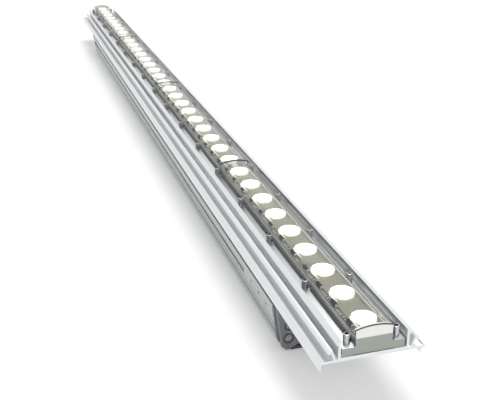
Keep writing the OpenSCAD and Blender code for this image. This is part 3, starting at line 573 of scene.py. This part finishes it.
def two_finishes(piece, main, ends):
    """One finish all over, and another on the two faces where the piece is cut to length"""
    give(piece, main, ends)
    xs = [v.co.x for v in piece.data.vertices]
    for face in piece.data.polygons:
        to_end = min(max(xs) - face.center.x, face.center.x - min(xs))
        face.material_index = int(to_end < END_DEPTH * MM)


def settle(piece, body, part):
    """Applies a piece's place, smooths it, hides the node that it stands for and puts it on its body
    """
    only(piece)
    bpy.ops.object.transform_apply(location=True, rotation=True, scale=True)
    bpy.ops.object.shade_smooth_by_angle(angle=SHARP)
    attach(piece, body)
    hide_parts(part)
    print(piece.name, len(piece.data.polygons), "faces")


def refined(name, part, edge):
    """A copy of a CAD node, merged, with whole faces and edges softened by that many mm"""
    piece = bpy.data.objects.new(name, frame["nodes"][part].data.copy())
    scene.collection.objects.link(piece)
    only(piece)
    bpy.ops.object.mode_set(mode="EDIT")
    bpy.ops.mesh.select_all(action="SELECT")
    bpy.ops.mesh.remove_doubles(threshold=MERGE * MM)
    bpy.ops.mesh.dissolve_limited(angle_limit=FLAT)
    if edge:
        soften(edge)
    bpy.ops.object.mode_set(mode="OBJECT")
    return piece


# %% [markdown]
# ## Tray
# The tray is one extrusion. Its outline goes from the small barb under the right edge round the
# edge bead, the leaning fin and the wall to the channel, and back on the left, where a drip blade
# hangs down. Tracing it point by point is how the die that makes it would be drawn.

# %% Tray
TRAY_EDGE = 0.14
TRAY_SIDE = [
    (35, 40.4), (32.5, 42.8), (31.9, 41.8), (26.1, 41.8), (27.61, 46.1), (29.7, 46.1), (30.3, 47.1),
    (27, 48.8), (24.4, 41.8), (23.3, 41.8), (23.3, 51), (24.5, 51.8), (21.5, 54.6), (21.5, SEAT_Z),
]
BARB = [(29.1, 40), (30.97, 36.7), (31.67, 36.7), (32.7, 40), (34.6, 40)]
BLADE = [(-34.6, 40), (-34.6, 35), (-33.7, 35), (-33.7, 40)]


def mirrored(side):
    """A right-hand outline's left-hand twin, in the order that closes it"""
    return [(-y, z) for y, z in reversed(side)]


tray_outline = BARB + TRAY_SIDE + mirrored(TRAY_SIDE) + BLADE
tray = bar("tray_extrusion", tray_outline, -TRAY_HALF, TRAY_HALF, TRAY_EDGE)
give(tray, anodised)
settle(tray, "lamp", "tray")

# %% [markdown]
# ## Carriers
# Each LED module sits on its own aluminium carrier: two flanges that the screws clamp, and a
# raised centre with a small fillet at its foot. Four bars, just over half a millimetre apart.
# Their long faces are bright from the die, and their sawn ends are brushed and greyer.

# %% Carriers
CARRIER_EDGE = 0.25
CARRIER_SIDE = [
    (14, 43), (14, SEAT_Z), (20.5, SEAT_Z), (20.5, FLANGE_Z), (12.8, FLANGE_Z), (12.4, 48.51),
    (12.11, 48.8), (12, 49.2), (12, CORE_Z),
]
CARRIER_ENDS = {1: (300.3, 599.5), 2: (0.3, 299.7), 3: (-299.7, -0.3), 4: (-599.5, -300.3)}
carrier_outline = CARRIER_SIDE + mirrored(CARRIER_SIDE)
for k, (far, near) in CARRIER_ENDS.items():
    carrier = bar(f"carrier_{k}", carrier_outline, far, near, CARRIER_EDGE)
    two_finishes(carrier, carrier_metal, brushed)
    settle(carrier, "lamp", f"module_carrier_{k}")

# %% [markdown]
# ## Lenses
# A lens is a thick button with a rounded shoulder, a low dome on top and a pocket for its LED
# below. It is spun once for each module and copied along it, nine to a module.

# %% Lenses
LENSES_EACH = 9
LENS_STEPS = 40
LENS_H = 3.5
LENS_SIDE = [
    (0, 1.1), (2.8, 1.1), (2.8, 0), (7.9, 0), (8, 0.1), (8, 1.9), (7.93, 2.15), (7.75, 2.33),
    (7.5, 2.43),
]
DOME_R = 27.27
DOME_FOOT = 7.2
DOME_STEPS = 12


def dome(radius):
    """Height of the lens at a distance from its middle"""
    return LENS_H - DOME_R + math.sqrt(DOME_R**2 - radius**2)


dome_radii = [DOME_FOOT * (DOME_STEPS - i) / DOME_STEPS for i in range(DOME_STEPS + 1)]
lens_outline = LENS_SIDE + [(r, dome(r)) for r in dome_radii]
for k in CARRIER_ENDS:
    lens = turned(f"lenses_{k}", lens_outline, LENS_STEPS)
    first = LENSES_EACH * (k - 1)
    places = [(FIRST_LED_X - PITCH * i, 0, BOARD_Z) for i in range(first, first + LENSES_EACH)]
    lens = copies(lens, places)
    give(lens, lens_glow)
    settle(lens, "lamp", f"led_optics_{k}")

# %% [markdown]
# ## Small parts on the boards
# Along the board's left edge, outside the inner strip, sits a black driver chip every 25 mm,
# with two smaller parts between one and the next. A part is a small box with a chamfered top and
# a bright soldered end on each side, so the box gets a second material on its ends.

# %% Board parts
CHIP = (9, 2, 2.6)
RESISTOR = (2.4, 2, 0.9)
CAP = 0.5
CHAMFER = 0.12
CHIPS_EACH = 12
CHIP_STEP = 25
CHIP_START = 13.5
PARTS_Y = -10.4
RESISTORS_AFTER = (7, 10.5)


def board_part(name, size):
    """A moulded part with soldered ends, standing at the origin"""
    long, wide, high = size
    bpy.ops.object.select_all(action="DESELECT")
    bpy.ops.mesh.primitive_cube_add(size=1, location=mm(0, 0, high / 2))
    piece = bpy.context.object
    piece.name = name
    piece.scale = mm(long - 2 * CAP, wide, high)
    bpy.ops.object.transform_apply(location=True, rotation=True, scale=True)
    bpy.ops.object.mode_set(mode="EDIT")
    for side in (-1, 1):
        pick_faces(lambda normal: normal.x * side > 0.9)
        push(side * CAP, 0, 0)
    soften(CHAMFER)
    bpy.ops.object.mode_set(mode="OBJECT")
    give(piece, epoxy_black, solder)
    for face in piece.data.polygons:
        face.material_index = int(abs(face.center.x) > (long / 2 - CAP) * MM)
    return piece


for k in CARRIER_ENDS:
    start = TRAY_HALF - MODULE_LEN * (k - 1) - CHIP_START
    middles = [start - CHIP_STEP * i for i in range(CHIPS_EACH)]
    behind = [x - after for x in middles[:-1] for after in RESISTORS_AFTER]
    chip = board_part(f"board_parts_fine_{k}", CHIP)
    chips = copies(chip, [(x, PARTS_Y, BOARD_Z) for x in middles])
    resistors = copies(board_part("small", RESISTOR), [(x, PARTS_Y, BOARD_Z) for x in behind])
    only(chips)
    resistors.select_set(True)
    bpy.ops.object.join()
    settle(chips, "lamp", f"board_parts_{k}")

# %% [markdown]
# ## Clamp screws
# Thirty-four tall screws clamp the modules. The head is turned with a chamfer, its side is
# knurled by moving every second edge in, and a socket goes down into its top. The socket's walls
# are painted dark steel as painted shade, so each bright rim has a dark middle.

# %% Clamp screws
SCREW_XS = [-595] + [75 * i - 525 for i in range(15)] + [595]
SCREW_Y = 16.2
HEAD_R = 2.2
HEAD_H = 7.4
HEAD_CHAMFER = 0.35
RIM_W = 0.45
SOCKET_R = 1.4
SOCKET_DEPTH = 2.6
SHANK_IN = 0.7
SHANK_LEN = 8.1
KNURLS = 24
KNURL_SHARE = 0.95
SIDE_BAND = 0.01
TOP_BAND = 0.2
SOCKET_SHADE_BAND = 0.1

bpy.ops.object.select_all(action="DESELECT")
bpy.ops.mesh.primitive_cylinder_add(
    vertices=KNURLS, radius=HEAD_R * MM, depth=HEAD_H * MM, location=mm(0, 0, HEAD_H / 2)
)
screw = bpy.context.object
screw.name = "clamp_screws_knurled"
bpy.ops.object.transform_apply(location=True, rotation=True, scale=True)
bpy.ops.object.mode_set(mode="EDIT")
pick_faces(lambda normal: normal.z > 0.9)
bpy.ops.mesh.bevel(offset=HEAD_CHAMFER * MM, segments=BEVEL_STEPS, affect="EDGES")
pick_faces(lambda normal: normal.z > 0.99)
bpy.ops.mesh.inset(thickness=RIM_W * MM)
push(0, 0, -SOCKET_DEPTH)
pick_faces(lambda normal: normal.z < -0.9)
bpy.ops.mesh.inset(thickness=SHANK_IN * MM)
push(0, 0, -SHANK_LEN)
bpy.ops.object.mode_set(mode="OBJECT")
for point in screw.data.vertices:
    turn = round(math.atan2(point.co.y, point.co.x) / math.tau * KNURLS)
    if math.hypot(point.co.x, point.co.y) > (HEAD_R - SIDE_BAND) * MM and turn % 2:
        point.co = (point.co.x * KNURL_SHARE, point.co.y * KNURL_SHARE, point.co.z)
# The socket's walls get the dark steel as painted shade.
give(screw, stainless, blackened_steel_and_socket_shade)
for face in screw.data.polygons:
    out, high = math.hypot(face.center.x, face.center.y) / MM, face.center.z / MM
    face.material_index = int(0 < high < HEAD_H - TOP_BAND and out < SOCKET_R + SOCKET_SHADE_BAND)
screws = copies(screw, [(x, side * SCREW_Y, FLANGE_Z) for x in SCREW_XS for side in (-1, 1)])
settle(screws, "lamp", "clamp_screws")

# %% [markdown]
# ## Pieces that keep their node's shape
# Castings, pressed parts and the clear covers already have the right outline, so a copy with
# softened edges and smooth curves is enough. Each row gives the piece, its node, its bevel in
# millimetres, its finish and the record's slot. A row with a place for a number is done for each
# module.

# %% Refined copies
LAMP_COPIES = [
    ("rail_extrusion", "housing_rail", 0.12, rail_metal, "anodised_aluminium"),
    ("plug_near", "end_plug_near", 0.25, white_plastic, "white_plug"),
    ("plug_far", "end_plug_far", 0.25, white_plastic, "white_plug"),
    ("cast_plate_near", "end_plate_near", 0.25, plate_coat, "plate_grey"),
    ("cast_plate_far", "end_plate_far", 0.25, plate_coat, "plate_grey"),
    ("cap_near", "rail_cap_near", 0.2, cap_coat, "cap_grey"),
    ("cap_far", "rail_cap_far", 0.2, cap_coat, "cap_grey"),
    ("strip", "clamp_strip", 0.15, strip_metal, "stainless"),
    ("strip_screws_fine", "strip_screws", 0.12, blackened_steel_and_socket_shade, "dark_screw"),
    ("plate_screws_fine", "plate_screws", 0.25, stainless, "stainless"),
    ("links", "board_links", 0.25, link_plastic, "link_plastic"),
    ("gland_body_fine", "gland_body", 0.3, black_plastic, "feed_plastic"),
    ("gland_nut_fine", "gland_nut", 0.4, black_plastic, "feed_plastic"),
    ("seals_joint", "joint_seals", 0.0, rubber, "seal_rubber"),
    ("seals_side", "side_seals", 0.0, rubber, "seal_rubber"),
]
MODULE_COPIES = [
    ("cover_shell_{}", "clear_cover_{}", 0.0, clear_cover_plastic, "clear_polycarbonate"),
    ("inner_strip_{}", "diffuser_{}", 0.0, frosted, "diffuser_acrylic"),
    ("board_{}", "led_board_{}", 0.15, mask_white, "white_board"),
]
FEET_COPIES = [
    ("bracket_near", "foot_near", 0.25, foot_coat, "foot_grey"),
    ("bracket_far", "foot_far", 0.25, foot_coat, "foot_grey"),
    ("pivot_screws_fine", "pivot_screws", 0.3, pivot_steel_painted_shade, "stainless"),
    ("lock_screws_fine", "lock_screws", 0.3, pivot_steel_painted_shade, "stainless"),
]
for name, part, *look in MODULE_COPIES:
    LAMP_COPIES += [(name.format(k), part.format(k), *look) for k in range(1, MODULE_COUNT + 1)]
for body, rows in (("lamp", LAMP_COPIES), ("feet", FEET_COPIES)):
    for name, part, edge, material, slot in rows:
        piece = refined(name, part, edge)
        give(piece, material)
        settle(piece, body, part)

# %% [markdown]
# The rail's sides lean out by 7.4 degrees and carry fine lines from the die. The lines and the
# lower edge are painted darker than the open faces, as painted shade, and the slot and the ledge
# under the tray are painted brighter, as painted light. Each face gets its finish by two measures:
# how far up the leaning side it lies, and how deep behind it.

# %% Finishes of the rail's faces
LEAN = math.radians(7.4)
FOOT_Y, FOOT_Z = 30.5, 2.3  # the side's lowest point
EDGE_UP, EDGE_DEEP = 2.5, 1.5
LINES_FROM, LINES_TO = 5, 15
LINE_LEAST, LINE_DEEP = 0.15, 0.75
SLOT_TO, SLOT_DEEP = 25, 0.5
LEDGE_Z = 28
OPEN, EDGE, LINE, INSIDE = range(4)


def rail_finish(high, up, deep):
    """Which of the rail's finishes a face gets, by its height, and its way up and into the side"""
    if high > LEDGE_Z or (deep > SLOT_DEEP and LINES_TO < up < SLOT_TO):
        return INSIDE
    if LINE_LEAST < deep < LINE_DEEP and LINES_FROM < up < LINES_TO:
        return LINE
    return EDGE if up < EDGE_UP and deep < EDGE_DEEP else OPEN


rail = bpy.data.objects["rail_extrusion"]
for metal in (rail_edge_painted_shade, rail_line_painted_shade, rail_inside_painted_light):
    rail.data.materials.append(metal)
for face in rail.data.polygons:
    out, high = abs(face.center.y) / MM - FOOT_Y, face.center.z / MM - FOOT_Z
    up = high * math.cos(LEAN) + out * math.sin(LEAN)
    deep = high * math.sin(LEAN) - out * math.cos(LEAN)
    face.material_index = rail_finish(high, up, deep)
counts = [sum(face.material_index == i for face in rail.data.polygons) for i in range(4)]
print("rail faces that are open, edge, line and inside:", counts)

# %% [markdown]
# Looked at end on, a clear sheet is dark, because little light comes along it. So the covers'
# end faces get an opaque dark finish, a painted shade that shows them as a thin arch.

# %% Ends of the covers
for k in range(1, MODULE_COUNT + 1):
    two_finishes(bpy.data.objects[f"cover_shell_{k}"], clear_cover_plastic, cover_ends_painted_shade)
print("finished the ends of", MODULE_COUNT, "covers")
